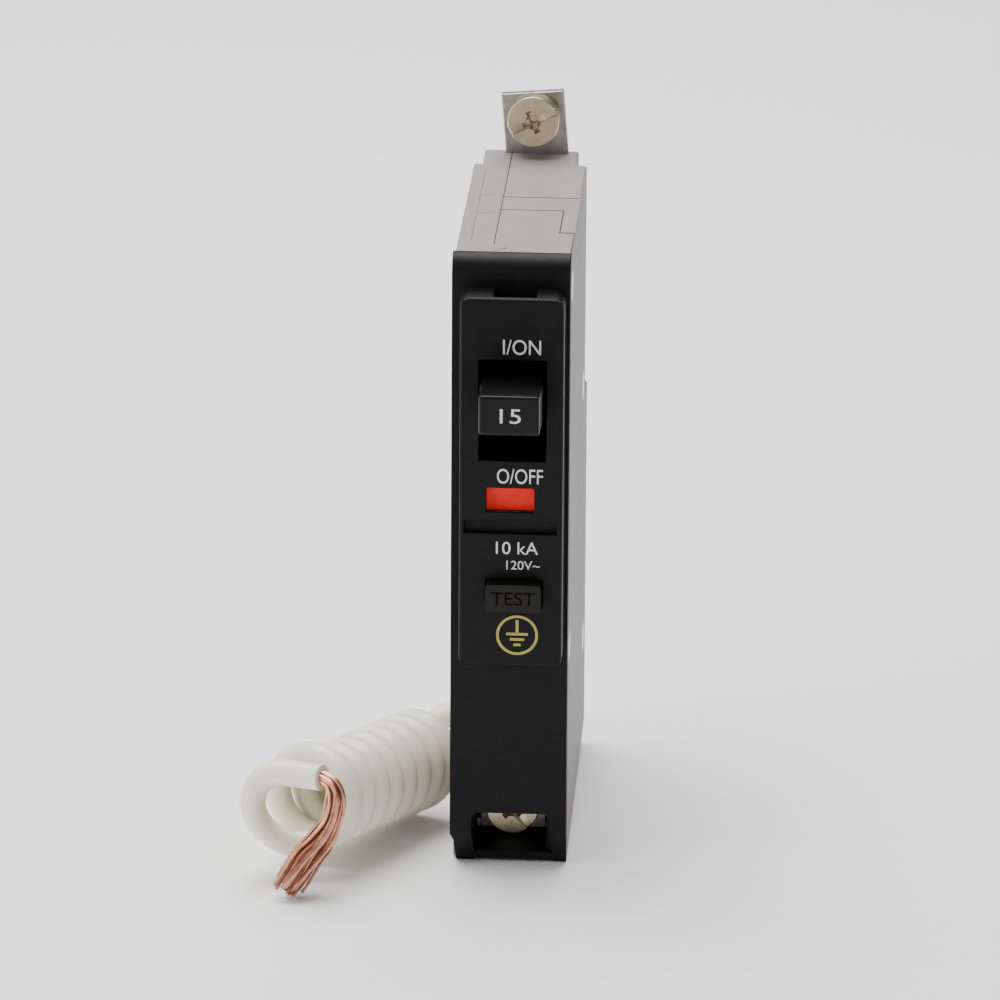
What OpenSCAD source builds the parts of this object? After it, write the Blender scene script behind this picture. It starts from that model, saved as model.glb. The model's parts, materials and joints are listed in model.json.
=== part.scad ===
// Single-pole, bolt-on circuit breaker with ground-fault protection and a coiled neutral pigtail.
// Everything is laid out in the case's own frame: X across the width, Y back from the front face,
// Z up from the lowest point. in_frame() then puts the origin on the line screw's axis, at the back
// of the bolt-on tab. Millimetres.

/* [Case] */
// Width of the case, one 3/4 inch module
case_w = 19.05; // [18.6:0.05:19.6]
// Height of the case from its lowest point to the top face
case_h = 104.1; // [102:0.1:106]
// Depth from the front face to the mounting face
case_d = 59.3; // [58.8:0.1:60.5]
// Depth of the full-width upper part, above the step in the back
upper_d = 51.4; // [50:0.1:53]
// Height of the step in the back
step_z = 64.6; // [64:0.1:66]
// Width of the narrow rib behind the upper part
rib_w = 15.6; // [15:0.1:16.4]
// Wall thickness of the two case halves
wall = 1.6; // [1.4:0.1:1.7]
// Place of the seam between the two case halves
seam_x = -3.3; // [-3.5:0.1:-3.1]

/* [Front] */
// Thickness of the black front cap
cap_t = 3; // [2.8:0.1:3.2]
// How far the escutcheon stands proud of the cap
escutcheon_t = 5; // [4.8:0.1:5.2]
// Width of the escutcheon
escutcheon_w = 16.7; // [16.2:0.1:17]
// How far the cap stands proud of the cover's side
cap_proud = 0.4; // [0.2:0.1:0.6]
// Radius of the cap's top edge
cap_r = 3; // [2:0.1:3]
// Height of the terminal cut-out above the lowest point
cutout_h = 8.9; // [8.5:0.1:9.2]
// Width of the terminal cut-out
cutout_w = 12.7; // [12:0.1:13]

/* [Controls] */
// Width of the handle
handle_w = 9.7; // [9.3:0.1:10]
// Height of the handle's finger face
handle_h = 6.6; // [6:0.1:6.8]
// Radius of the handle's hub
hub_r = 8.4; // [8:0.1:8.5]
// Width of the test button
button_w = 8.9; // [8.5:0.1:9.2]
// Height of the test button
button_h = 4.6; // [4.2:0.1:4.8]
// How far the test button stands proud of the escutcheon
button_t = 2.6; // [2.2:0.1:2.8]

/* [Terminals] */
// Width of the bolt-on tab
tab_w = 10.4; // [10:0.1:10.8]
// Thickness of the bolt-on tab and the terminal plates
plate_t = 1.6; // [1.4:0.1:1.7]
// Height of the tab's end above the line screw's axis
tab_rise = 4; // [3.8:0.1:4.6]
// Radius of the line screw's shank, number 10
line_shank_r = 2.413; // [2.3:0.001:2.5]
// Length of the line screw's shank behind the tab
line_shank_l = 4.4; // [4:0.1:6]
// Radius of the terminal screws' heads
head_r = 4.3; // [4.1:0.1:4.4]
// Radius of the load screws' shanks, number 8
load_shank_r = 2.083; // [2:0.001:2.1]

/* [Pigtail] */
// Diameter of the insulated wire
wire_d = 4.3; // [4:0.1:4.5]
// Outer diameter of the coil
coil_d = 17; // [16.6:0.1:17.2]
// Length of the coil between the wire's centres
coil_l = 36.9; // [36:0.1:37]

/* [Hidden] */
$fn = 48;

half_w = case_w / 2;
shell_left = cap_proud - half_w;
eps = 0.01;
run_gap = 0.05;
screw_x = 0.4;
screw_z = 110.6;
// The tab leans to the left above the case, and its foot stands that much to the right
tab_lean = 4.6;
tab_x = 0.92;

// Side profile of the case
foot_z = 5.7;
foot_y = 2.2;
back_foot_z = 3.5;
step_r = 1.2;

// Front openings
escutcheon_x = 0.45;
escutcheon_z = [36.4, 98.7];
groove_z = [59.05, 61.3];
groove_t = 1.1;
groove_x = [-7.1, 7.95];
notch_x = [-2.6, 4.3];
lip_t = 1.2;
face_wall = 1.6;
hollow_x = [-5.6, 6.8];
ledge_z = [70, 71.3];
window_x = 0.64;
window_w = 10.85;
window_z = [71.44, 88.39];
lens_x = 0.33;
lens_w = 7.75;
lens_z = [62.74, 66.78];
cutout_x = 0.37;
tray_t = 0.8;
tray_y = 13.2;
tray_floor = 1.6;

// Handle, on its pin behind the escutcheon
handle_x = 0.7;
pivot = [7, 79.9];
tip_y = -16.4;
tip_z = 79.5;
pin_r = 1.5;

// Contact arm, drawn closed and then swung open
arm_pivot = [21, 84];
arm_open = 9;
arm_x = 2.4;
arm_t = 2.4;
small_pin_r = 1;
line_neck_r = 2.1;
contact_y = 42;
contact_z = 95.2;
contact_r = 2.4;

// Trip mechanism
cradle_pivot = [14, 68.5];
mech_x = 2.5;
armature_pivot = [36.2, 62.6];
plunger_z = 45;
plunger_x = 2.7;
core_z = 24.5;
core_y = [24, 31];

// Test button
button_x = 1.05;
button_z = 48.9;

// Load terminals
load_z = 6.2;
load_x = 0.2;
neutral_y = 36;
pocket_w = 13.6;
clamp_gap = 4.6;
head_t = 3;

// Pigtail: where the wire leaves the case, then its route round the back and along the side
exit_x = -4;
exit_z = 7;
exit_y = 50;
coil_near = [-35, -10.4, 12.4];
coil_dir = [0.465, 0.881, -0.09];
lead_route = [[-4, 50, 7], [-4, 53.4, 6.9], [-4.5, 57.2, 6.2], [-6.6, 61, 5], [-10.4, 62.8, 3.8],
    [-14.4, 61.2, 2.8], [-16.9, 57, 2.4], [-17.8, 51.4, 2.3], [-18.4, 45.4, 2.3], [-19.6, 39.6, 2.3],
    [-21, 34.2, 2.5], [-21.8, 30.6, 3.8], [-22, 28.8, 6.2], [-21.7, 28.4, 8.8]];
strand_route = [[-31.6, -11.8, 19], [-29.2, -12.8, 19], [-27.6, -13.7, 18.2], [-27.1, -14.3, 16],
    [-27.8, -14.5, 12.7], [-29.5, -14.7, 9.4], [-31.8, -15.4, 6.6], [-33.6, -16.7, 3.8],
    [-34.8, -17.5, 1.9]];
strand_r = [1.6, 1.7, 1.9, 2, 2.4, 2.6, 2.6, 2.5, 2.1];

// Placing

module in_frame() {
    translate([-screw_x, -case_d, -screw_z]) children();
}

// Extrudes a side outline, drawn as [y, z], from x0 to x1
module across(x0, x1) {
    translate([x0, 0, 0]) rotate([90, 0, 90]) linear_extrude(x1 - x0) children();
}

// Extrudes a front outline, drawn as [x, z], from y0 to y1
module through(y0, y1) {
    translate([0, y1, 0]) rotate([90, 0, 0]) linear_extrude(y1 - y0) children();
}

module box(x, y, z) {
    translate([x[0], y[0], z[0]]) cube([x[1] - x[0], y[1] - y[0], z[1] - z[0]]);
}

module rod_x(at, r, x) {
    translate([x[0], at[0], at[1]]) rotate([0, 90, 0]) cylinder(r = r, h = x[1] - x[0]);
}

module rod_y(x, z, r, y) {
    translate([x, y[0], z]) rotate([-90, 0, 0]) cylinder(r = r, h = y[1] - y[0]);
}

module rod_z(x, y, r, z) {
    translate([x, y, z[0]]) cylinder(r = r, h = z[1] - z[0]);
}

module round_rect(x, z, r) {
    translate([x[0] + r, z[0]]) square([x[1] - x[0] - 2 * r, z[1] - z[0]]);
    translate([x[0], z[0] + r]) square([x[1] - x[0], z[1] - z[0] - 2 * r]);
    for (cx = [x[0] + r, x[1] - r], cz = [z[0] + r, z[1] - r])
        translate([cx, cz]) circle(r);
}

function span(c, w) = [c - w / 2, c + w / 2];

// A round tube swept along a route: rings of points square to the path, then the skin between them
function unit(v) = v / norm(v);
function way(p, i) = unit(p[min(i + 1, len(p) - 1)] - p[max(i - 1, 0)]);
function ring(c, d, s, r, n) = [for (k = [0:n - 1])
    c + r * (cos(360 * k / n) * s + sin(360 * k / n) * cross(s, d))];
function tube_points(p, r, n, flat) = [for (i = [0:len(p) - 1]) let (d = way(p, i))
    each ring(p[i], d, unit(cross(d, flat)), r[i], n)];
function quad(a, b, c, d) = [[a, b, c], [a, c, d]];
function tube_faces(m, n) = concat([[for (k = [0:n - 1]) n - 1 - k]],
    [for (i = [0:m - 2], k = [0:n - 1]) let (next = (k + 1) % n)
        each quad(i * n + k, i * n + next, (i + 1) * n + next, (i + 1) * n + k)],
    [[for (k = [0:n - 1]) (m - 1) * n + k]]);

// flat is a direction that the route never runs along
module tube(route, radii, n, flat = [0, 0, 1]) {
    polyhedron(tube_points(route, radii, n, flat), tube_faces(len(route), n), convexity = 6);
}

// Case

// Side outline of the case behind the cap, grown inwards by t
module case_outline(t) {
    polygon([[cap_t + t, foot_floor(cap_t) + t], [case_d - t, back_foot_z + t],
        [case_d - t, step_z - step_r - t], [case_d - step_r - t, step_z - t],
        [upper_d - t, step_z - t], [upper_d - t, case_h - t], [cap_t + t, case_h - t]]);
}

// Height of the sloping bottom face at a depth y
function foot_floor(y) = back_foot_z * (y - foot_y) / (case_d - foot_y);

module case_solid(t) {
    across(max(shell_left, t - half_w), half_w - t) case_outline(t);
    box(span(0, rib_w - 2 * t), [upper_d - 6, case_d - t], [step_z - 4, case_h - t]);
}

// The terminal tunnel behind the front cut-out, with its floor left open for the cap's tray and the
// wire's way in from below
module load_pocket(grow) {
    box(span(load_x, pocket_w + 2 * grow), [cap_t - eps, 18.2 + plate_t + grow],
        [1.1 - grow, 11.2 + grow]);
}

module load_floor_gap() {
    box(span(load_x, pocket_w), [cap_t - eps, 18.2], [-1, 3]);
}

// The second load terminal's pocket, open below
module neutral_pocket(grow) {
    box(span(load_x, pocket_w + 2 * grow), [neutral_y - 6.4 - grow, neutral_y + 10.4 + grow],
        [-1 + grow, 12.6 + plate_t + grow]);
}

// The notch at the back of the load end that the pigtail leaves by
module pigtail_notch(grow) {
    box([-half_w - 1, exit_x + 4.6 + grow], [exit_y - grow, case_d + 1], [-1, 12.4 + grow]);
}

module case_hollow() {
    difference() {
        case_solid(wall);
        load_pocket(wall);
        neutral_pocket(wall);
        pigtail_notch(wall);
    }
}

rivet_places = [[6.5, 97.5], [6.5, 36], [46, 67.6], [52, 21]];
rivet_r = 1.5;
rivet_head_r = 2.6;
rivet_head_t = 0.8;

module case_body() {
    difference() {
        case_solid(0);
        case_hollow();
        load_pocket(0);
        load_floor_gap();
        neutral_pocket(0);
        // ways through the pockets' walls for the strap and the screws' ends
        box(span(load_x, 5.6), [18.2, 18.2 + plate_t], [11, 13]);
        rod_y(load_x, load_z, 2.4, [19, 22]);
        rod_z(load_x, neutral_y, 2.4, [14, 17]);
        pigtail_notch(0);
        // slots for the line strap, the insert and the parts that pass the front wall
        box(span(tab_x, tab_w), [case_d - plate_t, case_d + 1], [screw_z - 14.2, case_h + 1]);
        insert_solid(case_h + 1);
        top_lines();
        box([-7.4, 8], [0, 8], [34.5, 93.5]);
        rod_y(exit_x, exit_z, wire_d / 2 + 1.2, [exit_y - wall - 1, exit_y + 1]);
        for (at = rivet_places) {
            rod_x(at, rivet_r, [-20, 20]);
            rod_x(at, rivet_head_r, [-half_w - 1, shell_left + rivet_head_t]);
            rod_x(at, rivet_head_r, [half_w - rivet_head_t, half_w + 1]);
        }
    }
}

// Thin grooves in the top face: the seam with its hook at the front, the gap round the insert, and
// the moulded lines on the cover
line_w = 0.2;
line_t = 0.45;
insert_y = [25.9, 32.75];
insert_x = 7.1;
insert_end = 13.85;
cover_line_x = -7;
cover_line_y = [8.9, 48.5];
cover_ticks = [[23.9, 2.9], [33.9, 2.2]];

module top_lines() {
    top = [case_h - line_t, case_h + 1];
    thin_top = [case_h - line_t / 2, case_h + 1];
    inner = [insert_x - line_w, insert_x];
    box([seam_x, seam_x + line_w], [7.1, case_d + 1], top);
    translate([0, 0, top[0]]) linear_extrude(2) polygon([[seam_x, 7.3], [-1.2, 6.2], [-1, 4.7],
        [seam_x, 3.4], [seam_x, 3.6], [-1.2, 4.9], [-1.4, 6.05], [seam_x, 7.1]]);
    box([seam_x, half_w + 1], [insert_y[1], insert_y[1] + line_w], top);
    box([seam_x, insert_x], [insert_y[0] - line_w, insert_y[0]], top);
    box(inner, [insert_end - line_w, insert_y[0]], top);
    box([insert_x - line_w, half_w + 1], [insert_end - line_w, insert_end], top);
    box(span(cover_line_x, line_w * 0.7), cover_line_y, thin_top);
    for (tick = cover_ticks)
        box([cover_line_x, cover_line_x + tick[1]], span(tick[0], line_w * 0.7), thin_top);
}

module base_shell() {
    color([0.62, 0.6, 0.58]) in_frame() intersection() {
        case_body();
        box([seam_x, 20], [-5, 80], [-5, 120]);
    }
}

module cover_shell() {
    color([0.6, 0.58, 0.56]) in_frame() intersection() {
        case_body();
        box([-20, seam_x], [-5, 80], [-5, 120]);
    }
}

// The L-shaped piece let into the top of the base
module insert_solid(top) {
    side = half_w + top - case_h;
    box([seam_x, side], insert_y, [case_h - wall, top]);
    box([insert_x, side], [insert_end, insert_y[0] + eps], [case_h - wall, top]);
}

module line_end_insert() {
    color([0.64, 0.62, 0.6]) in_frame() insert_solid(case_h);
}

module divider() {
    color([0.24, 0.24, 0.25]) in_frame() difference() {
        box([seam_x, seam_x + 0.8], [9, 56], [33.6, 63.5]);
        for (at = rivet_places) rod_x(at, rivet_head_r, [-5, 5]);
    }
}

module case_rivets() {
    color([0.7, 0.69, 0.66]) in_frame() for (at = rivet_places) {
        rod_x(at, rivet_r, [shell_left, half_w]);
        rod_x(at, rivet_head_r, [shell_left, shell_left + rivet_head_t]);
        rod_x(at, rivet_head_r, [half_w - rivet_head_t, half_w]);
    }
}

// Front

// Side outline of the cap, with its rounded top edge
module cap_outline() {
    polygon([[0, foot_z], [cap_t, foot_z], [cap_t, case_h],
        [cap_r, case_h], [cap_r, case_h - cap_r], [0, case_h - cap_r]]);
    intersection() {
        translate([cap_r, case_h - cap_r]) circle(cap_r);
        translate([0, case_h - cap_r]) square(cap_r);
    }
}

// The two legs beside the terminal cut-out, sloping back below the cap's face
module cap_legs() {
    join_z = foot_z + 0.4;
    intersection() {
        across(-half_w, half_w) polygon([[0, join_z], [0, foot_z], [foot_y, 0],
            [cap_t, foot_floor(cap_t)], [cap_t, join_z]]);
        union() {
            through(-1, cap_t + 1) polygon([[-half_w, 7], [-half_w, 5.1], [-8.9, 3.7], [-8.6, 0.4],
                [-8.3, -1], [-5.35, -1], [-5.98, 5.1], [-5.98, 7]]);
            through(-1, cap_t + 1) polygon([[6.72, 7], [6.72, 5.4], [7.4, -1], [half_w, -1],
                [half_w, 7]]);
        }
    }
}

// The floor and sides of the load terminal's tunnel
module cap_tray() {
    tray_x = span(load_x, pocket_w);
    across(tray_x[0], tray_x[1]) polygon([[cap_t - 1, tray_floor], [cap_t - 1, 0.3], [cap_t, 0.3],
        [cap_t, foot_floor(cap_t)], [tray_y, foot_floor(tray_y)], [tray_y, tray_floor]]);
    for (x = [tray_x[0], tray_x[1] - tray_t])
        box([x, x + tray_t], [cap_t - eps, tray_y], [0.9, 11.2]);
}

// A ledge under the handle's hub that keeps the mechanism out of sight
module cap_ledge() {
    box([hollow_x[0] + 0.2, hollow_x[1] - 0.2], [cap_t - eps, 7.9], ledge_z);
}

module front_cap() {
    esc_x = span(escutcheon_x, escutcheon_w);
    color([0.13, 0.13, 0.13]) in_frame() {
        cap_legs();
        cap_tray();
        cap_ledge();
        difference() {
            union() {
                across(-half_w, half_w) cap_outline();
                through(-escutcheon_t, eps) round_rect(esc_x, escutcheon_z, 1.5);
            }
            // window for the handle, lens opening, test button opening
            box(span(window_x, window_w), [-20, 20], window_z);
            box(span(lens_x, lens_w), [-20, 0], lens_z);
            box(span(button_x, button_w + 0.2), [-20, 0], span(button_z, button_h + 0.2));
            // hollow behind the flag and the button, and behind the handle
            box(hollow_x, [-escutcheon_t + face_wall, 20], [40, 69.8]);
            box(hollow_x, [-escutcheon_t + 2.4, 20], [window_z[0], 90]);
            // groove between the two panels, and the slot behind the lip of the top edge
            box(groove_x, [-20, -escutcheon_t + groove_t], groove_z);
            box(notch_x, [-escutcheon_t + lip_t, 0], [escutcheon_z[1] - 2.5, 99]);
            // terminal cut-out
            through(-1, 20) round_rect(span(cutout_x, cutout_w), [-9, cutout_h], 1.2);
        }
    }
}

module indicator_lens() {
    color([0.85, 0.75, 0.72, 0.4]) in_frame()
        box(span(lens_x, lens_w), [-escutcheon_t + 0.3, -escutcheon_t + 1.3], lens_z);
}

// Handle and contacts

module handle() {
    hx = span(handle_x, handle_w);
    root = [pivot[0] - 5, 5.2, 2.4];
    color([0.12, 0.12, 0.12]) in_frame() difference() {
        union() {
            rod_x(pivot, hub_r, hx);
            across(hx[0], hx[1]) polygon([[root[0], pivot[1] + root[1]],
                [tip_y, tip_z + handle_h], [tip_y, tip_z], [root[0], pivot[1] - root[2]]]);
        }
        rod_x(pivot, pin_r + run_gap, [-20, 20]);
    }
}

module handle_pin() {
    color([0.7, 0.7, 0.7]) in_frame() rod_x(pivot, pin_r, span(0, case_w - 2 * wall));
}

module arm_closed() {
    ax = span(arm_x, arm_t);
    top = contact_z - 0.15 - 1;
    rod_x(arm_pivot, 2.6, ax);
    across(ax[0], ax[1]) polygon([[arm_pivot[0] - 2, arm_pivot[1] + 1.6],
        [arm_pivot[0] + 14, top], [contact_y + 3, top], [contact_y + 3, top - 2],
        [arm_pivot[0] + 15, top - 2.2], [arm_pivot[0] + 1.6, arm_pivot[1] - 2]]);
}

module swung(at, angle) {
    translate([0, at[0], at[1]]) rotate([angle, 0, 0]) translate([0, -at[0], -at[1]]) children();
}

module contact_arm() {
    color([0.75, 0.47, 0.3]) in_frame() swung(arm_pivot, -arm_open) difference() {
        arm_closed();
        rod_x(arm_pivot, small_pin_r + run_gap, [-20, 20]);
    }
}

module moving_contact() {
    color([0.8, 0.8, 0.78]) in_frame() swung(arm_pivot, -arm_open)
        rod_z(arm_x, contact_y, contact_r, [contact_z - 1.15, contact_z - 0.15]);
}

module arm_pin() {
    color([0.7, 0.7, 0.7]) in_frame()
        rod_x(arm_pivot, small_pin_r, span(0, case_w - 2 * wall));
}

module fixed_contact() {
    color([0.8, 0.8, 0.78]) in_frame()
        rod_z(arm_x, contact_y, contact_r, [contact_z, contact_z + 1.2]);
}

// The bolt-on tab, its foot in the case, and the strip that carries the fixed contact
module line_strap() {
    strip_z = [contact_z + 1.2, contact_z + 1.2 + plate_t];
    color([0.72, 0.72, 0.68]) in_frame() difference() {
        union() {
            box(span(tab_x, tab_w), [case_d - plate_t, case_d], [strip_z[0], case_h]);
            box(span(screw_x, tab_w), [contact_y - 3, case_d - plate_t + eps], strip_z);
            intersection() {
                translate([screw_x, case_d - plate_t, screw_z]) rotate([0, -tab_lean, 0])
                    box(span(0, tab_w), [0, plate_t], [-10, tab_rise]);
                box([-20, 20], [0, 80], [case_h, 130]);
            }
        }
        rod_y(screw_x, screw_z, line_shank_r + run_gap, [0, 80]);
    }
}

module line_washer() {
    y1 = case_d - plate_t;
    color([0.8, 0.72, 0.45]) in_frame() difference() {
        rod_y(screw_x, screw_z, 4, [y1 - 0.8, y1]);
        rod_y(screw_x, screw_z, line_shank_r + run_gap, [0, 80]);
    }
}

// A round screw head with a straight slot and a cross recess, facing -Y at the origin
module screw_head(turn) {
    difference() {
        rod_y(0, 0, head_r, [0, head_t]);
        rotate([0, turn, 0]) {
            box([-10, 10], [-1, 0.8], [-0.65, 0.65]);
            box([-2, 2], [-1, 1.5], [-0.5, 0.5]);
            box([-0.5, 0.5], [-1, 1.5], [-2, 2]);
            rotate([-90, 0, 0]) cylinder(r1 = 1.3, r2 = 0.5, h = 2.2);
        }
    }
}

module line_screw() {
    y1 = case_d - plate_t - 0.8;
    color([0.8, 0.7, 0.42]) in_frame() {
        translate([screw_x, y1 - head_t, screw_z]) screw_head(-25);
        rod_y(screw_x, screw_z, line_neck_r, [y1 - eps, case_d + eps]);
        rod_y(screw_x, screw_z, line_shank_r, [case_d, case_d + line_shank_l]);
    }
}

module arc_plates() {
    color([0.45, 0.45, 0.46]) in_frame() for (z = [72:4:88])
        box([-4.6, 4.6], [48, 56.6], [z, z + 1.2]);
}

module arc_chute_sides() {
    color([0.75, 0.62, 0.5]) in_frame() for (x = [-5.4, 4.6])
        box([x, x + 0.8], [47.6, 57], [70.5, 92]);
}

// Trip mechanism

module cradle() {
    cx = span(mech_x, 1.8);
    color([0.6, 0.6, 0.58]) in_frame() difference() {
        union() {
            rod_x(cradle_pivot, 2.6, cx);
            across(cx[0], cx[1]) polygon([[-1.6, 66.4], [-1.6, 64.2], [13, 66], [20, 60.4],
                [29, 55.4], [30, 57.4], [22.6, 62.6], [15.6, 70.4], [12, 69.6]]);
        }
        rod_x(cradle_pivot, small_pin_r + run_gap, [-20, 20]);
    }
}

module trip_flag() {
    color([0.85, 0.2, 0.13]) in_frame()
        box([lens_x - lens_w / 2 - 0.2, lens_x + lens_w / 2 + 0.2], [-3, -1.6], [62.2, 67.2]);
}

module cradle_pin() {
    color([0.7, 0.7, 0.7]) in_frame()
        rod_x(cradle_pivot, small_pin_r, span(0, case_w - 2 * wall));
}

module toggle_spring() {
    color([0.6, 0.6, 0.6]) in_frame() rod_z(6.4, 24, 1, [62, 80]);
}

module bimetal() {
    color([0.7, 0.62, 0.5]) in_frame()
        box([0, 2.8], [40, 41], [core_z + plate_t / 2, 61]);
}

module magnetic_yoke() {
    color([0.5, 0.5, 0.52]) in_frame() {
        box([-1.4, 6.4], [43, 44.2], [44, 58]);
        for (x = [-1.4, 5.2]) box([x, x + 1.2], [38.8, 43 + eps], [44, 58]);
    }
}

module armature() {
    color([0.55, 0.55, 0.57]) in_frame() difference() {
        union() {
            rod_x(armature_pivot, 1.8, [-1, 6]);
            box([-1, 6], [35, 36.6], [41, 61.6]);
        }
        rod_x(armature_pivot, small_pin_r + run_gap, [-20, 20]);
    }
}

module armature_pin() {
    color([0.7, 0.7, 0.7]) in_frame()
        rod_x(armature_pivot, small_pin_r, [seam_x + 0.8, half_w - wall]);
}

module armature_spring() {
    color([0.6, 0.6, 0.6]) in_frame() rod_y(7.15, 50, 0.7, [37.2, 43]);
}

// The flexible copper braid from the arm's heel to the bimetal's head
module braid() {
    route = [[1.6, 24.5, 78.6], [1.6, 26, 74], [1.6, 29.6, 70], [1.6, 34, 67.4], [1.6, 38, 65],
        [1.6, 40.5, 61]];
    color([0.78, 0.45, 0.3]) in_frame() tube(route, [for (p = route) 1], 8, [1, 0, 0]);
}

// Load side

module load_strap() {
    zs = span(core_z, plate_t);
    color([0.75, 0.73, 0.66]) in_frame() difference() {
        union() {
            box(span(load_x, 5.6), [18.2, 41.6], zs);
            box(span(load_x, 5.6), [18.2, 18.2 + plate_t], [11, zs[1]]);
            box(span(load_x, 11.6), [18.2, 18.2 + plate_t], [1.6, 11.1]);
        }
        rod_y(load_x, load_z, load_shank_r + run_gap, [0, 80]);
    }
}

// A pressure plate under a screw's head, facing -Y, its back face at y = 0
module clamp_plate() {
    difference() {
        box([-5.4, 5.4], [-1.4, 0], [-4.3, 4.3]);
        rod_y(0, 0, load_shank_r + run_gap, [-5, 5]);
    }
}

module terminal_screw(turn) {
    translate([0, -1.4 - head_t, 0]) screw_head(turn);
    rod_y(0, 0, load_shank_r, [-1.4 - eps, clamp_gap + plate_t + 1.6]);
}

module at_load() {
    translate([load_x, 18.2 - clamp_gap, load_z]) children();
}

module at_neutral() {
    translate([load_x, neutral_y, 12.6 - clamp_gap]) rotate([90, 0, 0]) children();
}

module load_clamp() {
    color([0.78, 0.76, 0.7]) in_frame() at_load() clamp_plate();
}

module load_screw() {
    color([0.8, 0.7, 0.42]) in_frame() at_load() terminal_screw(45);
}

module neutral_clamp() {
    color([0.78, 0.76, 0.7]) in_frame() at_neutral() clamp_plate();
}

module neutral_screw() {
    color([0.8, 0.78, 0.72]) in_frame() at_neutral() terminal_screw(20);
}

module neutral_strap() {
    color([0.75, 0.73, 0.66]) in_frame() difference() {
        box(span(load_x, 11.6), [neutral_y - 5.4, neutral_y + 5.4], [12.6, 12.6 + plate_t]);
        rod_z(load_x, neutral_y, load_shank_r + run_gap, [0, 30]);
    }
}

// Electronics

module circuit_board() {
    color([0.13, 0.35, 0.2]) in_frame() difference() {
        box([-6.8, -5.6], [9, 54], [32, 61]);
        for (at = rivet_places) rod_x(at, rivet_head_r, [-20, 20]);
    }
}

module board_parts() {
    bx = [-5.6, -3.9];
    color([0.1, 0.1, 0.1]) in_frame() {
        box(bx, [14, 22], [40, 46]);
        box(bx, [30, 36], [50, 56]);
        for (z = [36, 41, 46]) rod_x([44, z], 1.8, bx);
        for (y = [14, 18, 22]) box(bx, [y, y + 2], [52, 57]);
    }
}

module sensor_core() {
    color([0.2, 0.22, 0.3]) in_frame() difference() {
        rod_y(load_x, core_z, 6.4, core_y);
        rod_y(load_x, core_z, 3.5, [0, 80]);
    }
}

module solenoid_frame() {
    px = span(plunger_x, 8.4);
    color([0.55, 0.55, 0.56]) in_frame() difference() {
        union() {
            box(px, [11, 12], span(plunger_z, 8.4));
            box(px, [27, 28], span(plunger_z, 8.4));
            box(px, [12 - eps, 27 + eps], [plunger_z - 4.2, plunger_z - 3.6]);
        }
        rod_y(plunger_x, plunger_z, 1.2 + run_gap, [0, 80]);
    }
}

module solenoid_coil() {
    color([0.7, 0.35, 0.2]) in_frame() difference() {
        rod_y(plunger_x, plunger_z, 3.6, [12, 27]);
        rod_y(plunger_x, plunger_z, 1.8, [0, 80]);
    }
}

module plunger() {
    color([0.7, 0.7, 0.72]) in_frame() {
        rod_y(plunger_x, plunger_z, 1.2, [9.5, 32.8]);
        rod_y(plunger_x, plunger_z, 2.2, [31.4, 32.2]);
    }
}

module plunger_spring() {
    color([0.6, 0.6, 0.6]) in_frame() difference() {
        rod_y(plunger_x, plunger_z, 2.1, [28, 31.1]);
        rod_y(plunger_x, plunger_z, 1.5, [0, 80]);
    }
}

module test_button() {
    face_y = -escutcheon_t - button_t;
    color([0.16, 0.15, 0.13]) in_frame() {
        through(face_y, -escutcheon_t + face_wall + 0.2)
            round_rect(span(button_x, button_w), span(button_z, button_h), 0.6);
        box(span(button_x, button_w + 1.4), [-escutcheon_t + face_wall + 0.2, -1.8],
            span(button_z, button_h + 1.4));
        rod_y(button_x, button_z, 1.5, [-1.8 - eps, 3.4]);
    }
}

module test_leaf() {
    color([0.72, 0.6, 0.35]) in_frame()
        box([button_x - 1.6, button_x + 1.6], [5.4, 5.8], [43, 54]);
}

// Pigtail

module pigtail_gland() {
    color([0.85, 0.84, 0.8]) in_frame() difference() {
        union() {
            rod_y(exit_x, exit_z, wire_d / 2 + 1.2, [exit_y - wall, exit_y + eps]);
            rod_y(exit_x, exit_z, wire_d / 2 + 1.6, [exit_y, exit_y + 1.5]);
        }
        rod_y(exit_x, exit_z, wire_d / 2, [exit_y, exit_y + 10]);
    }
}

module pigtail_lead() {
    color([0.9, 0.89, 0.85]) in_frame()
        tube(lead_route, [for (p = lead_route) wire_d / 2], 10);
}

module pigtail_coil() {
    d = unit(coil_dir);
    color([0.9, 0.89, 0.85]) in_frame() translate(coil_near)
        rotate([0, acos(d[2]), atan2(d[1], d[0])]) translate([0, 0, -wire_d / 2])
            difference() {
                cylinder(d = coil_d, h = coil_l + wire_d);
                translate([0, 0, -1]) cylinder(d = coil_d - 2 * wire_d, h = coil_l + wire_d + 2);
            }
}

module pigtail_strands() {
    color([0.78, 0.5, 0.35]) in_frame() tube(strand_route, strand_r, 10, [0, 1, 0]);
}

base_shell();
cover_shell();
line_end_insert();
front_cap();
indicator_lens();
divider();
case_rivets();
handle();
handle_pin();
contact_arm();
arm_pin();
moving_contact();
fixed_contact();
line_strap();
line_washer();
line_screw();
arc_plates();
arc_chute_sides();
cradle();
trip_flag();
cradle_pin();
toggle_spring();
bimetal();
magnetic_yoke();
armature();
armature_pin();
armature_spring();
braid();
load_strap();
load_clamp();
load_screw();
neutral_strap();
neutral_clamp();
neutral_screw();
circuit_board();
board_parts();
sensor_core();
solenoid_frame();
solenoid_coil();
plunger();
plunger_spring();
test_button();
test_leaf();
pigtail_gland();
pigtail_lead();
pigtail_coil();
pigtail_strands();
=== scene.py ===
"""Looks of a single-pole bolt-on breaker with ground-fault protection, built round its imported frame."""
import json
import math
import random

import bmesh
import bpy
from mathutils import Matrix, Vector


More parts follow.
